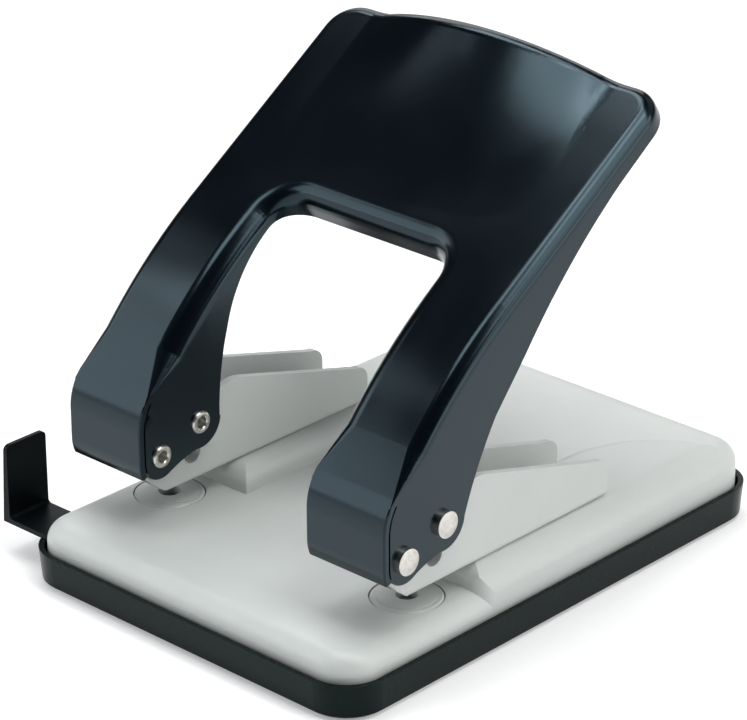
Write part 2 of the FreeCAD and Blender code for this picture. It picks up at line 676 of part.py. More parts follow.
def make_rivet(label, x, y, z, half_turn):
    """Semi-tubular rivet across one leg: domed head outside, rolled end inside."""
    body = new_body(label)
    head = f"({FLANGE_X} + rivet_dome)"
    roll = f"({FLANGE_X} + rivet_roll_height)"
    lip = "((rivet_bore + rivet_roll) / 2)"
    cap = dome(f"({head} - rivet_cap)", "rivet_head", head)
    outline = ((f"rivet_bore_depth - {roll}", "0"), [
        (f"rivet_bore_depth - {roll} - 0.3", "rivet_bore"), (f"0.4 - {roll}", "rivet_bore"),
        (f"-{roll}", lip, f"-{FLANGE_X}", "rivet_roll"), (f"-{FLANGE_X}", "rivet_radius"),
        (FLANGE_X, "rivet_radius"), (FLANGE_X, "rivet_head"),
        (f"{head} - rivet_cap", "rivet_head"), (cap[0], cap[1], cap[2], "0"),
        (f"rivet_bore_depth - {roll}", "0")])
    revolve(body, outline_sketch(body, label + "_section", "XZ", outline), "H_Axis")
    return place(body, x, f"{PUNCH_Y} + {y}", f"foot_proud + {z}", half_turn)


def make_washers(label, x, y, z):
    """Nylon washers between the bracket walls and the handle flanges."""
    rings = []
    low, high = "(bracket_width / 2 + washer_play)", f"({FLANGE_X} - handle_thick)"
    for name, near, far in (("outer", low, high), ("inner", f"-{high}", f"-{low}")):
        body = new_body(f"{label}_{name}")
        outline = box(near, "rivet_radius", far, "washer_radius")
        revolve(body, outline_sketch(body, f"{label}_{name}_section", "XZ", outline), "H_Axis")
        rings.append(body)
    return place(combine("Compound", label, rings), x, f"{PUNCH_Y} + {y}", f"foot_proud + {z}")


def make_sleeve(side, x):
    """Spacer sleeve round the pivot rivet, between the bracket walls."""
    label = "fulcrum_sleeve_" + side
    body = new_body(label)
    half = "(bracket_width / 2 - bracket_wall)"
    bore = "(rivet_radius + run_gap)"
    outline = box(f"-{half}", bore, half, f"{bore} + sleeve_wall")
    revolve(body, outline_sketch(body, label + "_section", "XZ", outline), "H_Axis")
    return place(body, x, f"{PUNCH_Y} + fulcrum_y", "foot_proud + fulcrum_z")


# ---- brackets -----------------------------------------------------------------------
def bracket_outline():
    """Side view of a bracket wall."""
    rear_top = f"({DECK} + bracket_rear_height)"
    round_ = "bracket_rear_round"
    peak = f"({DECK} + bracket_peak_height)"
    brow = f"({DECK} + bracket_brow_height)"
    nose = "(fulcrum_y - bracket_nose)"
    return ("bracket_floor_front", DECK), [
        ("bracket_rear", DECK), ("bracket_rear", f"{rear_top} - {round_}"),
        (f"bracket_rear - {round_} * 0.25", f"{rear_top} - {round_} * 0.3",
         f"bracket_rear - {round_}", rear_top),
        ("bracket_peak_y + 2.2", f"{peak} - 0.55"),
        ("bracket_peak_y", f"{peak} - 0.2", "bracket_peak_y - 2.2", f"{peak} - 0.35"),
        ("bracket_brow_y", brow),
        (f"{nose} + 2.2", f"{brow} - 2.3", nose, "fulcrum_z - 0.5"),
        (nose, "fulcrum_z - 3"),
        (f"({nose} + bracket_floor_front) / 2 - 0.45", f"({DECK} + fulcrum_z - 3) / 2 - 0.45",
         "bracket_floor_front", DECK)]


def make_bracket(side, x):
    """Bent steel channel that carries one punch and the handle's pivot."""
    label = "bracket_" + side
    body = new_body(label)
    walls = outline_sketch(body, label + "_walls", "YZ", bracket_outline())
    pad(body, walls, "bracket_width", symmetric=True)
    deck = number(DECK)
    under = edges_where(body.Shape, lambda at, a, b: abs(at.z - deck) < 1e-4 and abs(at.x) > 1)
    dress(body, "Fillet", under, "bracket_bend")
    half = "(bracket_width / 2 - bracket_wall)"
    channel = box("-" + half, f"{DECK} + bracket_wall", half, f"{DECK} + 3 * bracket_peak_height")
    pocket(body, outline_sketch(body, label + "_channel", "XZ", channel), symmetric=True)
    pivot = new_sketch(body, label + "_pivot", "YZ")
    circle(pivot, "fulcrum_y", "fulcrum_z", "rivet_radius + run_gap")
    pocket(body, pivot, symmetric=True)
    wide = f"(rivet_radius + {SWAY} / 2 + slot_play)"
    slot = rounded_box(f"({SLOT_Y} - {wide})", f"({DRIVE_Z} - {STROKE} - {wide})",
                       f"({SLOT_Y} + {wide})", f"({DRIVE_Z} + {wide})", f"({wide} * 0.98)")
    pocket(body, outline_sketch(body, label + "_slot", "YZ", slot), symmetric=True)
    floor = new_sketch(body, label + "_floor_holes", "XY", DECK)
    circle(floor, "0", "0", "bush_radius")
    for step in ("0", "base_rivet_pitch"):
        circle(floor, "0", f"base_rivet_front + {step}", "base_rivet_radius")
    pocket(body, floor, "2 * bracket_wall", backwards=True)
    return place(body, x)


def make_base_rivets():
    """Four rivets that hold the brackets on the cover."""
    rivets = []
    for side, x, _ in SIDES:
        for name, step in (("front", "0"), ("rear", "base_rivet_pitch")):
            body = new_body(f"base_rivet_{side}_{name}")
            floor = f"({DECK} + bracket_wall)"
            under = f"({DECK} - sheet_thick)"
            top = f"({floor} + base_rivet_height)"
            cap = dome(floor, "base_rivet_head", top)
            outline = (("0", f"{under} - 1.2"), [
                ("base_rivet_head", f"{under} - 1.2"), ("base_rivet_head", under),
                ("base_rivet_radius", under), ("base_rivet_radius", floor),
                ("base_rivet_head", floor),
                (cap[1], cap[0], "0", cap[2]),
                ("0", f"{under} - 1.2")])
            sketch = outline_sketch(body, body.Name + "_section", "XZ", outline)
            revolve(body, sketch, "V_Axis")
            place(body, x, f"base_rivet_front + {step}", "0")
            rivets.append(body)
    DOC.recompute()
    return place(combine("Compound", "bracket_rivets", rivets))


# ---- paper guide ---------------------------------------------------------------------
def make_guide():
    """Sliding guide: long flat bar, upright tab at its left end."""
    body = new_body("paper_guide")
    top = "(guide_z + guide_thick)"
    outline = (("-guide_tab - guide_tab_root", "guide_z"), [
        ("guide_end", "guide_z"), ("guide_end", top), ("1 - guide_tab", top),
        ("0.3 - guide_tab", f"{top} + 0.3", "-guide_tab", f"{top} + 1"),
        ("-guide_tab", "guide_tab_top"), ("-guide_tab - guide_tab_tip", "guide_tab_top"),
        ("-guide_tab - guide_tab_root", "guide_z")])
    sketch = outline_sketch(body, "guide_side", "XZ", outline, "-guide_front")
    pad(body, sketch, "guide_width", backwards=True)
    upper = number("guide_tab_top")
    corners = edges_where(body.Shape, lambda at, a, b: abs(at.z - upper) < 1e-4
                          and abs(a.x) + abs(b.x) < 0.2)
    dress(body, "Fillet", corners, "1.5")
    return place(body)


def make_channel():
    """C channel under the bed in which the guide bar slides."""
    body = new_body("guide_channel")
    low, high = "(guide_front - guide_fit)", "(guide_front + guide_width + guide_fit)"
    floor, roof = "(guide_z - guide_fit)", "(bed_height - sheet_thick - channel_wall)"
    cover = "(bed_height - sheet_thick)"
    middle = "(guide_front + guide_width / 2)"
    cut = "1.8"
    lip = f"({floor} - channel_wall)"
    front, rear = f"({low} - channel_wall)", f"({high} + channel_wall)"
    outline = ((front, lip), [
        (f"{middle} - channel_slot / 2", lip), (f"{middle} - channel_slot / 2", floor),
        (low, floor), (low, roof), (high, roof), (high, floor),
        (f"{middle} + channel_slot / 2", floor), (f"{middle} + channel_slot / 2", lip),
        (rear, lip), (rear, f"{cover} - {cut}"), (f"{rear} - {cut}", cover),
        (f"{front} + {cut}", cover), (front, f"{cover} - {cut}"), (front, lip)])
    sketch = outline_sketch(body, "channel_section", "YZ", outline, "-channel_left")
    pad(body, sketch, "channel_left + channel_right")
    return place(body)


def make_leaf():
    """Bowed leaf spring that brakes the guide bar."""
    body = new_body("guide_spring")
    roof = "(bed_height - sheet_thick - channel_wall)"
    low = "(guide_z + guide_thick + guide_fit / 2)"
    centre = "((channel_right - channel_left) / 2)"
    left, right = f"({centre} - leaf_half)", f"({centre} + leaf_half)"
    outline = ((left, roof), [
        (centre, f"{low} + leaf_thick", right, roof), (right, f"{roof} - leaf_thick"),
        (centre, low, left, f"{roof} - leaf_thick"), (left, roof)])
    sketch = outline_sketch(body, "leaf_side", "XZ", outline,
                            "-(guide_front + (guide_width - leaf_width) / 2)")
    pad(body, sketch, "leaf_width", backwards=True)
    return place(body)


# ---- handle --------------------------------------------------------------------------
def from_knee(along, depth="0", angle="face_angle", offset=("0", "0")):
    """Point at a distance along the face (or leg) line and a depth behind it."""
    y = f"(knee_y + {along} * cos({angle}) + {depth} * sin({angle}) + {offset[0]})"
    z = f"(knee_z + {along} * sin({angle}) - {depth} * cos({angle}) + {offset[1]})"
    return y, z


def around(y, z, radius, angle):
    return f"({y} + {radius} * cos({angle}))", f"({z} + {radius} * sin({angle}))"


def knee_arc(depth):
    """Middle point and end point of the bend between face and legs."""
    half = "((leg_angle - face_angle) / 2)"
    radius = f"(knee_tangent / tan({half}))"
    reach = f"({radius} * (1 / cos({half}) - 1))"
    mean = "((face_angle + leg_angle) / 2)"
    middle = from_knee("0", f"({reach} + {depth})", mean)
    return middle + from_knee("(-knee_tangent)", depth, "leg_angle")


def front_outline(depth):
    """Front of the side view from the top edge down to the end of the leg line."""
    start = from_knee(f"(face_length - {depth})", depth)
    steps = [from_knee("knee_tangent", depth), knee_arc(depth),
             from_knee("(-leg_reach)", depth, "leg_angle")]
    return start, steps


def handle_side():
    """Side view of the handle with the free edge of its outer flanges."""
    start, steps = front_outline("0")
    pivot = ("fulcrum_y", "fulcrum_z")
    drive = (DRIVE_Y, DRIVE_Z)
    steps += [
        around(*pivot, "lobe_front", "195"),
        around(*pivot, "lobe_front", "250") + around(*pivot, "lobe_front", "300"),
        ("(fulcrum_y + 7.3)", "(fulcrum_z - 3.5)") + around(*drive, "lobe_rear", "(-100)"),
        around(*drive, "lobe_rear", "(-52)") + around(*drive, "lobe_rear", "(-5)"),
        ("calf_y - 6.7", "calf_z - 12", "calf_y", "calf_z"),
        ("waist_y", "waist_z"),
        ("waist_y + 14", "waist_z + 16.1", "shoulder_y", "shoulder_z"),
        from_knee("face_length", "top_flange"),
        start]
    return start, steps


def hollow_side():
    """Side view of the space inside the handle, open to the back."""
    start, steps = front_outline("handle_thick")
    foot = from_knee("(-leg_reach)", "handle_thick", "leg_angle")
    back = from_knee("(face_length - handle_thick)", "60")
    steps += [(foot[0], "10"), (back[0], "10"), back, start]
    return start, steps


def face_sketch(body, name, along, turn):
    """Free sketch that stands on the face line, turned about the cross axis."""
    sketch = body.newObject("Sketcher::SketchObject", name)
    sketch.Placement = FreeCAD.Placement(vec(0, 0), FreeCAD.Rotation(vec(1, 0, 0), number(turn)))
    y, z = from_knee(along)
    sketch.setExpression("Placement.Base.y", dim(y))
    sketch.setExpression("Placement.Base.z", dim(z))
    sketch.setExpression("Placement.Rotation.Angle", dim(turn))
    DOC.recompute()
    return sketch


def crown_section(body, name, end, part, level):
    """Section of the crown, part of the way from its start to the top edge.

    It is a wide arch that runs out in a hollow on each side. Its rise grows with
    the square of the distance, so the crown leaves the face without a crease.
    """
    height = f"(crown_seed + (crown_height - crown_seed) * {part * part})"
    base = f"({level} - crown_seed * {(1 - part) * (1 - part)})"
    angle = f"(2 * atan({height} / {CROWN_HALF}))"
    joint_x = f"({CROWN_HALF} - crown_blend * sin({angle}))"
    joint_y = f"({base} + crown_blend * (1 - cos({angle})))"
    half_x = f"({CROWN_HALF} - crown_blend * sin({angle} / 2))"
    half_y = f"({base} + crown_blend * (1 - cos({angle} / 2)))"
    low = f"({base} - 1)"
    along = f"(crown_start + ({end} - crown_start) * {part})"
    sketch = face_sketch(body, name, along, "(90 + face_angle)")
    draw(sketch, ("-" + CROWN_HALF, base), [
        ("-" + half_x, half_y, "-" + joint_x, joint_y),
        ("0", f"{base} + {height}", joint_x, joint_y),
        (half_x, half_y, CROWN_HALF, base),
        (CROWN_HALF, low), ("-" + CROWN_HALF, low), ("-" + CROWN_HALF, base)])
    DOC.recompute()
    return sketch


def faces_front(normal):
    """Whether a face looks to the front and up, as the handle's face does."""
    mean = (number("face_angle") + number("leg_angle")) / 2
    front = vec(0, 0, 1)
    front = FreeCAD.Rotation(vec(1, 0, 0), mean).multVec(front)
    return normal.dot(front)


def front_edges(body):
    """Edges between the handle's front and the faces that stand square to it."""
    test = either(lambda at, a, b: faces_front(a) > 0.8 and abs(faces_front(b)) < 0.25)
    return edges_where(body.Shape, test)


def handle_form(name, side, depth):
    """Solid form of the handle whose surfaces lie depth inside the outer ones."""
    body = new_body(name)
    width = f"(hole_spacing + leg_width - 2 * {depth})"
    pad(body, outline_sketch(body, name + "_side", "YZ", side), width, symmetric=True)
    top = from_knee(f"(face_length - {depth})", f"(top_flange / 2)")
    at_top = vec(0, number(top[0]), number(top[1]))
    half = number(width) / 2

    def corner(at, a, b):
        level = abs((at - at_top).dot(vec(0, number("cos(face_angle)"), number("sin(face_angle)"))))
        return level < 1e-3 and abs(abs(at.x) - half) < 1e-3

    dress(body, "Fillet", edges_where(body.Shape, corner), f"handle_corner - {depth}")
    crown = body.newObject("PartDesign::AdditiveLoft", name + "_crown")
    arches = [crown_section(body, f"{name}_arch_{step}", f"(face_length - {depth})",
                            step / CROWN_STEPS, f"(-{depth} - crown_sink)")
              for step in range(CROWN_STEPS + 1)]
    crown.Profile = arches[0]
    crown.Sections = arches[1:]
    DOC.recompute()
    dress(body, "Fillet", front_edges(body), f"handle_bend - {depth}")
    window = face_sketch(body, name + "_window", "0", "face_angle")
    half_x = f"({WINDOW_HALF} + {depth})"
    draw(window, *rounded_box("-" + half_x, "(-150)", half_x, f"(window_top + {depth})",
                              f"(window_corner + {depth})"))
    pocket(body, window, symmetric=True)
    dress(body, "Fillet", front_edges(body), f"window_bend - {depth}")
    return body


def flange_trim():
    """Space behind the free edge of the inner flanges and the window flange."""
    body = new_body("handle_trim")
    ledge = from_knee("window_top", "window_flange")
    far = from_knee("(window_top + 150)", "window_flange")
    outline = (("(fulcrum_y + 20)", "(fulcrum_z + 3.9)"), [
        ("(inner_calf_y - 2.6)", "(inner_calf_z - 11)", "inner_calf_y", "inner_calf_z"),
        ("(inner_calf_y + 5.2)", "(inner_calf_z + 11.4)", "inner_top_y", "inner_top_z"),
        ("(inner_top_y + 4.5)", "(inner_top_z + 2.2)") + ledge, far, ("200", far[1]), ("200", "(fulcrum_z + 3.9)"),
        ("(fulcrum_y + 20)", "(fulcrum_z + 3.9)")])
    pad(body, outline_sketch(body, "trim_side", "YZ", outline),
        f"2 * ({WINDOW_HALF} + handle_thick + 0.4)", symmetric=True)
    return body


BEND_Y = "(tongue_y + tongue_bend)"
BEND_Z = ("(knee_z - (knee_y - tongue_y) * tan(leg_angle)"
          " - tongue_bend * tan((90 - leg_angle) / 2))")
CURL_Y = "(tongue_y + tongue_curl)"


def tongue_line(depth, first):
    """Steps down the tongue, depth behind its front, from the direction first on."""
    bend = f"(tongue_bend - {depth})"
    curl = f"(tongue_curl - {depth})"
    return [
        around(BEND_Y, BEND_Z, bend, f"((180 + {first}) / 2)")
        + around(BEND_Y, BEND_Z, bend, "180"),
        around(CURL_Y, "tongue_curl_z", curl, "180"),
        around(CURL_Y, "tongue_curl_z", curl, "(180 + tongue_turn / 2)")
        + around(CURL_Y, "tongue_curl_z", curl, "(180 + tongue_turn)")]


def tongue_back(depth):
    """Steps up the back of the tongue, depth behind its front."""
    bend = f"(tongue_bend - {depth})"
    curl = f"(tongue_curl - {depth})"
    return [
        around(CURL_Y, "tongue_curl_z", curl, "(180 + tongue_turn / 2)")
        + around(CURL_Y, "tongue_curl_z", curl, "180"),
        around(BEND_Y, BEND_Z, bend, "180"),
        around(BEND_Y, BEND_Z, bend, "((270 + leg_angle) / 2)")
        + around(BEND_Y, BEND_Z, bend, "(90 + leg_angle)")]


def slit_space():
    """Space taken away in front of the flanges below the top of the slit."""
    body = new_body("handle_slit")
    depth = "(handle_thick + slit_gap)"
    first = f"(180 - asin((slit_z - {BEND_Z}) / (tongue_bend - {depth})) / 1 deg)"
    steps = tongue_line(depth, first)
    outline = (("-100", "slit_z"),
               [around(BEND_Y, BEND_Z, f"(tongue_bend - {depth})", first)] + steps
               + [(steps[-1][2], "0"), ("-100", "0"), ("-100", "slit_z")])
    pad(body, outline_sketch(body, "slit_side", "YZ", outline), "200", symmetric=True)
    return body


def bend_point(depth, along="0"):
    """Point where the tongue leaves the leg line, depth behind the front."""
    y, z = around(BEND_Y, BEND_Z, f"(tongue_bend - {depth})", "(90 + leg_angle)")
    return f"({y} + {along} * cos(leg_angle))", f"({z} + {along} * sin(leg_angle))"


def bend_space(side, x):
    """Space between the flanges of one leg where the tongue leaves the leg line."""
    body = new_body("bend_space_" + side)
    outside = bend_point("(-5)")
    inside = bend_point("(handle_thick + 1)")
    outline = (outside, [inside, (inside[0], "slit_z - 1"), ("-100", "slit_z - 1"),
                         ("-100", outside[1]), outside])
    pad(body, outline_sketch(body, f"bend_space_{side}_side", "YZ", outline, x),
        "leg_width - 2 * handle_thick", symmetric=True)
    return body


def tongue(side, x):
    """Front plate of one leg, bent down over the front of its bracket."""
    body = new_body("tongue_" + side)
    start, start_back = bend_point("0", "0.5"), bend_point("handle_thick", "0.5")
    end_back = around(CURL_Y, "tongue_curl_z", "(tongue_curl - handle_thick)",
                      "(180 + tongue_turn)")
    outline = (start, [bend_point("0")] + tongue_line("0", "(90 + leg_angle)") + [end_back]
               + tongue_back("handle_thick") + [start_back, start])
    pad(body, outline_sketch(body, f"tongue_{side}_side", "YZ", outline, x),
        "leg_width", symmetric=True)
    edges = edges_where(body.Shape, either(lambda at, a, b: abs(a.x) > 0.9 and b.y < -0.3))
    dress(body, "Fillet", edges, "tongue_edge")
    return body


def sharpen(body, name, corner, inward, radius):
    """Fill the rounded front edge of a leg so that it is sharp where the tongue starts."""
    bend = (f"((knee_y - tongue_y) / cos(leg_angle)"
            " - tongue_bend * tan((90 - leg_angle) / 2))")
    end = "((knee_z - slit_z) / sin(leg_angle) + 1)"
    places = (("knee_tangent", f"({radius} - 0.02)"), (bend, "leg_edge"), (end, "leg_edge"))
    for index, pair in enumerate(zip(places, places[1:])):
        sections = []
        for turn, (along, round_) in enumerate(pair):
            sketch = face_sketch(body, f"{name}_{index}_{turn}", "0", "(90 + leg_angle)")
            y, z = from_knee(f"(-{along})", "0", "leg_angle")
            sketch.setExpression("Placement.Base.y", dim(y))
            sketch.setExpression("Placement.Base.z", dim(z))
            nick = f"{round_} * (1 - cos(45))"
            far = f"({corner} {inward} {radius})"
            draw(sketch, (far, "-" + radius), [
                (corner, "-" + radius), (corner, "-" + round_),
                (f"({corner} {inward} {nick})", f"(-{nick})",
                 f"({corner} {inward} {round_})", "0"),
                (far, "0"), (far, "-" + radius)])
            sections.append(sketch)
        loft = body.newObject("PartDesign::AdditiveLoft", f"{name}_loft_{index}")
        loft.Profile = sections[0]
        loft.Sections = sections[1:]
        DOC.recompute()


def front_space():
    """Space taken away in front of the bend from the legs to the tongues."""
    body = new_body("handle_front_space")
    start = bend_point("0")
    outline = (start, [tongue_line("0", "(90 + leg_angle)")[0], ("-100", BEND_Z),
                       ("-100", start[1]), start])
    pad(body, outline_sketch(body, "front_space_side", "YZ", outline), "200", symmetric=True)
    return body


def make_handle():
    """Pressed steel lever: broad crowned face, window and two flanged legs."""
    outer = handle_form("handle_skin", handle_side(), "0")
    for name, corner, inward, radius in (
            ("left_out", "-" + HANDLE_HALF, "+", "handle_bend"),
            ("left_in", "-" + WINDOW_HALF, "-", "window_bend"),
            ("right_in", WINDOW_HALF, "+", "window_bend"),
            ("right_out", HANDLE_HALF, "-", "handle_bend")):
        sharpen(outer, name, corner, inward, radius)
    inner = handle_form("handle_core", hollow_side(), "handle_thick")
    shell = combine("Cut", "handle_shell", [outer, inner])
    bends = [bend_space(side, x) for side, x, _ in SIDES]
    trims = combine("MultiFuse", "handle_trims", [flange_trim(), slit_space(), front_space()] + bends)
    sheet = combine("Cut", "handle_sheet", [shell, trims])
    plates = [tongue(side, x) for side, x, _ in SIDES]
    whole = combine("MultiFuse", "handle_whole", [sheet] + plates)
    for name, y, z in (("pivot", "fulcrum_y", "fulcrum_z"), ("drive", DRIVE_Y, DRIVE_Z)):
        bore = new_body("handle_hole_" + name)
        sketch = new_sketch(bore, f"handle_hole_{name}_side", "YZ")
        circle(sketch, y, z, "rivet_radius")
        pad(bore, sketch, "200", symmetric=True)
        whole = combine("Cut", "handle_less_" + name, [whole, bore])
    whole.Label = "handle"
    return place(whole)


# ---- whole machine -------------------------------------------------------------------
def make_all():
    """Every sub-part, in the row frame, under its node name."""
    nodes = [make_tray()]
    nodes += [make_foot(label, x, y) for label, (x, y) in foot_centres().items()]
    nodes += [make_cover(), make_guide(), make_channel(), make_leaf(), make_base_rivets()]
    for side, x, turned in SIDES:
        nodes += [make_die(side, x), make_bracket(side, x), make_bush(side, x),
                  make_spring(side, x), make_punch(side, x), make_sleeve(side, x)]
        for name, y, z in (("fulcrum", "fulcrum_y", "fulcrum_z"), ("drive", DRIVE_Y, DRIVE_Z)):
            nodes.append(make_rivet(f"{name}_rivet_{side}", x, y, z, turned))
            nodes.append(make_washers(f"{name}_washers_{side}", x, y, z))
    nodes.append(make_handle())
    return nodes


def check(nodes):
    """Stop when anything in the document is broken."""
    DOC.recompute()
    for thing in DOC.Objects:
        if "Invalid" in thing.State or "Error" in thing.State:
            raise ValueError(f"{thing.Label} is {thing.State}")
    for node in nodes:
        if node.Shape.isNull() or not node.Shape.isValid() or not node.Shape.Solids:
            raise ValueError(f"{node.Label} has no valid solid")


def export(nodes):
    os.makedirs("parts", exist_ok=True)
    for node in nodes:
        node.Shape.exportStep(f"parts/{node.Label}.step")


fill_sheet()
NODES = make_all()
check(NODES)
export(NODES)
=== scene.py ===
import math

import bmesh
import bpy
from mathutils import Matrix, Vector


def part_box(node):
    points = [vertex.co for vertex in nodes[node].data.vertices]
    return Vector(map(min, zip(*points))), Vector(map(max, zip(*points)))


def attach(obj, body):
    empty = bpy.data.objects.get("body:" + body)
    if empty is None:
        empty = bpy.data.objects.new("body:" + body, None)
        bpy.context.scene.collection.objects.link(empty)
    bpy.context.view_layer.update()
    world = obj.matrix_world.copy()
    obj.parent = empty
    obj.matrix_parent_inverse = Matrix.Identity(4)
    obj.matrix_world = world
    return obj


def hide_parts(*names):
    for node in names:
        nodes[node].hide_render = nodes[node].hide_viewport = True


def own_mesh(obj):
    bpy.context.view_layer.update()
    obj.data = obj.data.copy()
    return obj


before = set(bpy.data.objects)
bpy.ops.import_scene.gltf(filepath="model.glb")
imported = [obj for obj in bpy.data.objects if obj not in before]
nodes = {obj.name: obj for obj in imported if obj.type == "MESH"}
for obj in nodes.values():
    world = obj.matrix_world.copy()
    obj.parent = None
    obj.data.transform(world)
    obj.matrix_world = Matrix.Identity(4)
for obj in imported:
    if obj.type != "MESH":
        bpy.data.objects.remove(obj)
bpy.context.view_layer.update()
scene = bpy.context.scene


# ---- camera: the photograph's viewing angle ------------------------------------------
AZIMUTH, ELEVATION, ROLL = 43.18, 24.44, -0.26
CAMERA_PLACE = (0.5295, -0.57267, 0.4048)
SENSOR_WIDTH = 36.0
FRAME_WIDTH = 747.0
FOCAL_PIXELS = 3500.0


def add_camera():
    az, el, roll = (math.radians(angle) for angle in (AZIMUTH, ELEVATION, ROLL))
    back = Vector((math.sin(az) * math.cos(el), -math.cos(az) * math.cos(el), math.sin(el)))
    right = Vector((math.cos(az), math.sin(az), 0.0))
    up = back.cross(right)
    turn = Matrix.Rotation(roll, 3, back)
    right, up = turn @ right, turn @ up
    data = bpy.data.cameras.new("camera")
    data.sensor_fit = "HORIZONTAL"
    data.sensor_width = SENSOR_WIDTH
    data.lens = FOCAL_PIXELS / FRAME_WIDTH * SENSOR_WIDTH
    data.clip_start, data.clip_end = 0.05, 20.0
    camera = bpy.data.objects.new("camera", data)
    scene.collection.objects.link(camera)
    place = Matrix((right, up, back)).transposed().to_4x4()
    place.translation = Vector(CAMERA_PLACE)
    camera.matrix_world = place
    scene.camera = camera


# ---- node materials ------------------------------------------------------------------
class Paint:
    """A Principled material that is built up from procedural detail."""

    def __init__(self, name, colour, rough, metal=0.0):
        self.mat = bpy.data.materials.new(name)
        self.mat.use_nodes = True
        self.tree = self.mat.node_tree
        self.bsdf = self.tree.nodes["Principled BSDF"]
        self.bsdf.inputs["Base Color"].default_value = (*colour, 1.0)
        self.bsdf.inputs["Roughness"].default_value = rough
        self.bsdf.inputs["Metallic"].default_value = metal
        self.coords = self.node("ShaderNodeTexCoord").outputs["Object"]
        self.height = None

    def node(self, kind):
        return self.tree.nodes.new(kind)

    def noise(self, scale, detail=2.0, rough=0.5, stretch=None):
        tex = self.node("ShaderNodeTexNoise")
        tex.inputs["Scale"].default_value = scale
        tex.inputs["Detail"].default_value = detail
        tex.inputs["Roughness"].default_value = rough
        source = self.coords
        if stretch:
            mapping = self.node("ShaderNodeMapping")
            mapping.inputs["Scale"].default_value = stretch
            self.tree.links.new(source, mapping.inputs["Vector"])
            source = mapping.outputs["Vector"]
        self.tree.links.new(source, tex.inputs["Vector"])
        return tex.outputs["Fac"]

    def vary_colour(self, fac, low, high):
        ramp = self.node("ShaderNodeValToRGB")
        stops = ((0.35, low), (0.65, high))
        for element, (at, colour) in zip(ramp.color_ramp.elements, stops):
            element.position = at
            element.color = (*colour, 1.0)
        self.tree.links.new(fac, ramp.inputs["Fac"])
        self.tree.links.new(ramp.outputs["Color"], self.bsdf.inputs["Base Color"])

    def vary_rough(self, fac, low, high):
        spread = self.node("ShaderNodeMapRange")
        spread.inputs["From Min"].default_value = 0.3
        spread.inputs["From Max"].default_value = 0.7
        spread.inputs["To Min"].default_value = low
        spread.inputs["To Max"].default_value = high
        self.tree.links.new(fac, spread.inputs["Value"])
        self.tree.links.new(spread.outputs["Result"], self.bsdf.inputs["Roughness"])

    def bump(self, fac, depth, strength):
        bump = self.node("ShaderNodeBump")
        bump.inputs["Strength"].default_value = strength
        bump.inputs["Distance"].default_value = depth
        self.tree.links.new(fac, bump.inputs["Height"])
        if self.height is not None:
            self.tree.links.new(self.height, bump.inputs["Normal"])
        self.height = bump.outputs["Normal"]
        self.tree.links.new(self.height, self.bsdf.inputs["Normal"])


def black_enamel():
    paint = Paint("handle_enamel", (0.0008, 0.0018, 0.0032), 0.19)
    low, high = (0.0005, 0.0014, 0.0026), (0.0010, 0.0022, 0.0037)
    paint.vary_colour(paint.noise(9.0, 3.0), low, high)
    paint.vary_rough(paint.noise(60.0, 4.0), 0.16, 0.21)
    paint.bump(paint.noise(900.0, 2.0), 0.00002, 0.3)
    paint.bump(paint.noise(3200.0, 2.0), 0.000012, 0.3)
    paint.bsdf.inputs["Specular Tint"].default_value = (0.58, 0.85, 1.0, 1.0)
    return paint.mat


def grey_enamel(name, tone=1.0):
    low = (0.565 * tone, 0.590 * tone, 0.570 * tone)
    high = (0.600 * tone, 0.625 * tone, 0.605 * tone)
    paint = Paint(name, high, 0.38)
    paint.vary_colour(paint.noise(28.0, 4.0), low, high)
    paint.vary_rough(paint.noise(80.0, 4.0), 0.34, 0.42)
    paint.bump(paint.noise(1100.0, 3.0), 0.00007, 0.6)
    paint.bump(paint.noise(3800.0, 2.0), 0.00002, 0.4)
    return paint.mat


def black_plastic(name, colour, rough):
    paint = Paint(name, colour, rough)
    high = tuple(c * 1.25 for c in colour)
    paint.vary_colour(paint.noise(35.0, 3.0), colour, high)
    paint.vary_rough(paint.noise(140.0, 4.0), rough - 0.04, rough + 0.05)
    paint.bump(paint.noise(2200.0, 3.0), 0.00003, 0.5)
    paint.bsdf.inputs["Specular IOR Level"].default_value = 0.11
    paint.bsdf.inputs["Specular Tint"].default_value = (0.74, 0.98, 1.0, 1.0)
    return paint.mat


def rubber():
    paint = Paint("foot_rubber", (0.02, 0.02, 0.02), 0.8)
    paint.vary_colour(paint.noise(120.0, 3.0), (0.018, 0.018, 0.018), (0.032, 0.032, 0.031))
    paint.bump(paint.noise(2600.0, 2.0), 0.00006, 0.6)
    return paint.mat


def metal(name, low, high, rough, stretch=(1.0, 1.0, 1.0)):
    paint = Paint(name, high, rough, 1.0)
    lines = paint.noise(900.0, 3.0, 0.6, stretch)
    paint.vary_colour(lines, low, high)
    paint.vary_rough(paint.noise(300.0, 3.0), rough - 0.04, rough + 0.08)
    paint.bump(lines, 0.00002, 0.4)
    return paint.mat


def nylon():
    paint = Paint("washer_nylon", (0.72, 0.71, 0.67), 0.4)
    paint.vary_colour(paint.noise(200.0, 3.0), (0.66, 0.65, 0.60), (0.76, 0.75, 0.71))
    paint.bump(paint.noise(1800.0, 2.0), 0.00003, 0.4)
    return paint.mat


def steel(name, low, high, rough, stretch=(1.0, 1.0, 12.0)):
    """Brushed steel, a little bluer than grey; the stretch is along its lines."""
    return metal(name, low, high, rough, stretch)


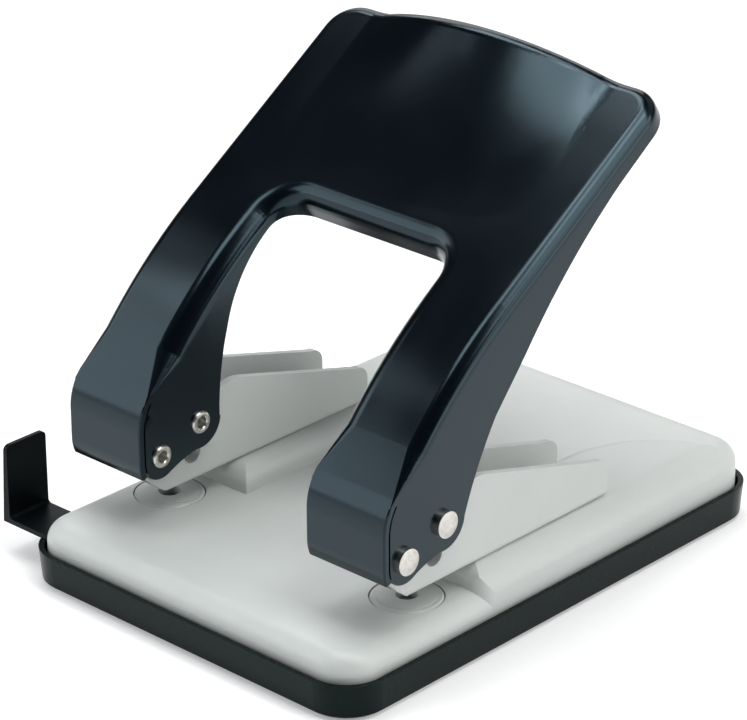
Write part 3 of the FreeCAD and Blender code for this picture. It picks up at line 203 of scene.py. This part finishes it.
def finish_nodes():
    nickel = (0.52, 0.50, 0.47), (0.64, 0.62, 0.58)
    looks = {
        "handle": black_enamel(),
        "base_cover": grey_enamel("cover_enamel"),
        "bracket_": grey_enamel("bracket_enamel", 0.97),
        "chip_tray": black_plastic("tray_plastic", (0.0025, 0.0055, 0.005), 0.26),
        "paper_guide": black_plastic("guide_plastic", (0.0025, 0.0035, 0.0045), 0.34),
        "guide_channel": black_plastic("channel_plastic", (0.02, 0.02, 0.02), 0.55),
        "foot_": rubber(),
        "bracket_rivets": metal("rivet_nickel_small", *nickel, 0.30),
        "fulcrum_rivet_": metal("pivot_nickel", *nickel, 0.30),
        "drive_rivet_": metal("drive_nickel", (0.50, 0.49, 0.46), (0.62, 0.60, 0.57), 0.30),
        "fulcrum_washers_": nylon(),
        "drive_washers_": nylon(),
        "fulcrum_sleeve_": steel("sleeve_steel", (0.40, 0.40, 0.41), (0.56, 0.56, 0.57), 0.35),
        "die_": grey_enamel("die_enamel", 0.94),
        "guide_bush_": steel("bush_steel", (0.40, 0.40, 0.41), (0.56, 0.56, 0.57), 0.35),
        "return_spring_": steel("spring_steel", (0.34, 0.34, 0.35), (0.50, 0.50, 0.51), 0.32),
        "guide_spring": steel("leaf_steel", (0.40, 0.41, 0.44), (0.56, 0.57, 0.60), 0.3,
                              (12.0, 1.0, 1.0)),
        "punch_pin_": steel("punch_steel", (0.46, 0.46, 0.47), (0.64, 0.64, 0.65), 0.28),
    }
    for name, piece in nodes.items():
        key = max((k for k in looks if name.startswith(k)), key=len)
        piece.data.materials.clear()
        piece.data.materials.append(looks[key])


# ---- return springs (they shorten as the lever goes down): round-wire coils of one fixed length ---
WIRE_RADIUS = 0.0004
COIL_TURNS = 3.4
COIL_STEPS = 170
WIRE_SIDES = 12


def add_coil(side):
    """Round wire in a right-hand helix, in the place of the CAD spring."""
    node = "return_spring_" + side
    low, high = (Vector(corner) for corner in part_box(node))
    middle = (low + high) / 2
    radius = (high.x - low.x) / 2 - WIRE_RADIUS
    rise = high.z - low.z - 2 * WIRE_RADIUS
    slope = math.atan2(rise / COIL_TURNS, 2 * math.pi * radius)
    rings = []
    shape = bmesh.new()
    for i in range(COIL_STEPS + 1):
        turn = 2 * math.pi * COIL_TURNS * i / COIL_STEPS
        out = Vector((math.cos(turn), math.sin(turn), 0.0))
        along = Vector((-out.y * math.cos(slope), out.x * math.cos(slope), math.sin(slope)))
        across = along.cross(out)
        heart = Vector((middle.x, middle.y, low.z + WIRE_RADIUS + rise * i / COIL_STEPS))
        heart += radius * out
        around = (2 * math.pi * k / WIRE_SIDES for k in range(WIRE_SIDES))
        rings.append([shape.verts.new(heart + WIRE_RADIUS * (math.cos(a) * out
                                                             + math.sin(a) * across))
                      for a in around])
    for ring, after in zip(rings, rings[1:]):
        for k in range(WIRE_SIDES):
            beside = (k + 1) % WIRE_SIDES
            shape.faces.new((ring[k], ring[beside], after[beside], after[k]))
    shape.faces.new(rings[0][::-1])
    shape.faces.new(rings[-1])
    bmesh.ops.recalc_face_normals(shape, faces=shape.faces[:])
    for face in shape.faces:
        face.smooth = len(face.verts) == 4
    mesh = bpy.data.meshes.new("coil_" + side)
    shape.to_mesh(mesh)
    shape.free()
    coil = bpy.data.objects.new("coil_" + side, mesh)
    scene.collection.objects.link(coil)
    mesh.materials.append(nodes[node].data.materials[0])
    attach(coil, "base")
    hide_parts(node)
    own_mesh(coil)


# ---- stage and light -----------------------------------------------------------------
FLOOR_REACH = 30.0
FLOOR_DROP = 0.0002


def add_floor():
    """White floor: it takes the object's shadow and looks white to camera and gloss."""
    mesh = bpy.data.meshes.new("floor")
    corners = [(x * FLOOR_REACH, y * FLOOR_REACH, 0)
               for x, y in ((-1, -1), (1, -1), (1, 1), (-1, 1))]
    mesh.from_pydata(corners, [], [(0, 1, 2, 3)])
    floor = bpy.data.objects.new("floor", mesh)
    scene.collection.objects.link(floor)
    floor.location.z = -FLOOR_DROP
    mat = bpy.data.materials.new("floor_white")
    mat.use_nodes = True
    tree = mat.node_tree
    bsdf = tree.nodes["Principled BSDF"]
    bsdf.inputs["Base Color"].default_value = (0.86, 0.86, 0.86, 1.0)
    bsdf.inputs["Roughness"].default_value = 0.9
    bsdf.inputs["Specular IOR Level"].default_value = 0.0
    path = tree.nodes.new("ShaderNodeLightPath")
    seen = path.outputs["Is Camera Ray"]
    for ray in ("Is Glossy Ray", "Is Transmission Ray"):
        both = tree.nodes.new("ShaderNodeMath")
        both.operation = "MAXIMUM"
        tree.links.new(seen, both.inputs[0])
        tree.links.new(path.outputs[ray], both.inputs[1])
        seen = both.outputs[0]
    # the lamps don't reach the far floor, so its glow grows with the distance
    spot = tree.nodes.new("ShaderNodeTexCoord")
    away = tree.nodes.new("ShaderNodeVectorMath")
    away.operation = "LENGTH"
    fade = tree.nodes.new("ShaderNodeMapRange")
    for key, value in (("From Min", 0.4), ("From Max", 1.1), ("To Min", 0.3), ("To Max", 1.0)):
        fade.inputs[key].default_value = value
    glow = tree.nodes.new("ShaderNodeMath")
    glow.operation = "MULTIPLY"
    tree.links.new(spot.outputs["Object"], away.inputs[0])
    tree.links.new(away.outputs["Value"], fade.inputs["Value"])
    tree.links.new(fade.outputs["Result"], glow.inputs[1])
    tree.links.new(seen, glow.inputs[0])
    bsdf.inputs["Emission Color"].default_value = (1.0, 1.0, 1.0, 1.0)
    tree.links.new(glow.outputs[0], bsdf.inputs["Emission Strength"])
    mesh.materials.append(mat)


def add_world():
    """Pale studio walls that darken towards the ceiling."""
    world = bpy.data.worlds.new("studio")
    scene.world = world
    world.use_nodes = True
    tree = world.node_tree
    back = tree.nodes["Background"]
    coords = tree.nodes.new("ShaderNodeTexCoord")
    split = tree.nodes.new("ShaderNodeSeparateXYZ")
    tree.links.new(coords.outputs["Generated"], split.inputs["Vector"])
    ramp = tree.nodes.new("ShaderNodeValToRGB")
    band = ramp.color_ramp
    band.interpolation = "EASE"
    band.elements[0].position = 0.04
    band.elements[0].color = (1.0, 1.0, 1.0, 1.0)
    band.elements[1].position = 0.17
    band.elements[1].color = (0.03, 0.035, 0.04, 1.0)
    tree.links.new(split.outputs["Z"], ramp.inputs["Fac"])
    tree.links.new(ramp.outputs["Color"], back.inputs["Color"])
    back.inputs["Strength"].default_value = 1.0


def add_light(name, at, aim, size, radiance, colour=(1.0, 1.0, 1.0)):
    """Softbox; its power is given by how bright its surface looks."""
    data = bpy.data.lights.new(name, "AREA")
    data.shape = "RECTANGLE"
    data.size, data.size_y = size
    data.energy = radiance * math.pi * size[0] * size[1]
    data.color = colour
    lamp = bpy.data.objects.new(name, data)
    scene.collection.objects.link(lamp)
    lamp.location = at
    lamp.rotation_euler = (Vector(aim) - Vector(at)).to_track_quat("-Z", "Y").to_euler()
    lamp.visible_camera = False


def add_lights():
    cool = (0.96, 0.985, 1.0)
    add_light("key_front", (-0.16, -0.20, 0.76), (-0.05, 0.0, 0.1), (0.22, 0.34), 4.4, cool)
    add_light("key_left", (-0.38, 0.14, 0.72), (-0.1, 0.0, 0.1), (0.24, 0.34), 4.2, cool)
    add_light("left", (-0.66, -0.22, 0.66), (0.0, 0.0, 0.12), (0.12, 0.12), 0.8, cool)
    add_light("left_front", (-0.58, -0.36, 0.64), (0.0, 0.0, 0.12), (0.12, 0.12), 3.0, cool)
    add_light("key_back", (-0.16, 0.14, 0.76), (-0.05, 0.0, 0.1), (0.22, 0.34), 2.2, cool)
    add_light("top", (0.12, 0.0, 0.80), (0.0, 0.0, 0.1), (0.30, 0.60), 3.6)
    add_light("top_right", (0.45, 0.05, 0.70), (0.0, 0.0, 0.1), (0.34, 0.60), 3.4)
    add_light("rear", (0.25, 0.60, 0.60), (0.0, 0.0, 0.05), (0.80, 0.45), 0.3)
    add_light("rear_left", (-0.55, 0.60, 0.55), (0.0, 0.0, 0.05), (0.60, 0.45), 1.6)
    add_light("front", (-0.56, -0.56, 0.36), (0.0, 0.0, 0.1), (0.84, 0.48), 2.2, cool)
    add_light("right", (0.80, 0.35, 0.50), (0.0, 0.0, 0.08), (0.60, 0.30), 2.8)
    add_light("right_low", (0.85, 0.35, 0.18), (0.0, 0.0, 0.08), (0.60, 0.34), 1.6)


add_camera()
finish_nodes()
for side in ("left", "right"):
    add_coil(side)
add_floor()
add_world()
add_lights()
scene.view_settings.view_transform = "Standard"
bpy.context.view_layer.update()
